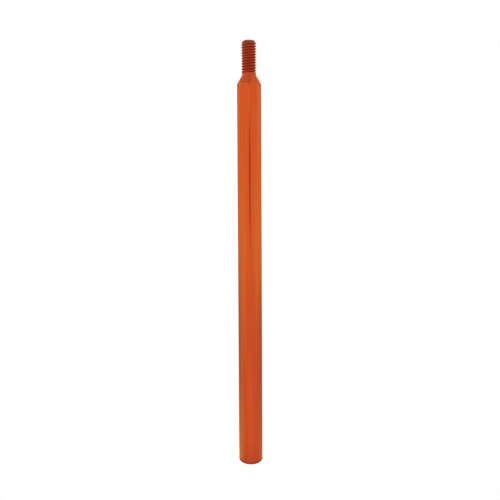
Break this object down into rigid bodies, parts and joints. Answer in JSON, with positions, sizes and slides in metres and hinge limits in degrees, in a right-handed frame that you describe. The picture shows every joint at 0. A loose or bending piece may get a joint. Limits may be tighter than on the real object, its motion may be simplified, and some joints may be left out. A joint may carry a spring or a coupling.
{
  "type": "roller extension pole",
  "caption": "Short round metal extension pole with a screw-in stud on a tapered shoulder at one end and a matching tapped socket at the other.",
  "frame": {"origin": "centre of the lower end face, where the socket opens", "axes": "+Z along the pole's axis towards the male stud; +X along the axis of the cross pins"},
  "size_m": [0.0126, 0.0126, 0.2261],
  "materials": {
    "tube": "orange anodised, drawn lengthwise, satin",
    "fittings": "orange anodised, turned, satin",
    "pins": "oiled spring steel"
  },
  "bodies": {
    "root": {"tube": "tube", "stud_fitting": "fittings", "socket_fitting": "fittings", "stud_pin": "pins", "socket_pin": "pins"}
  },
  "joints": []
}
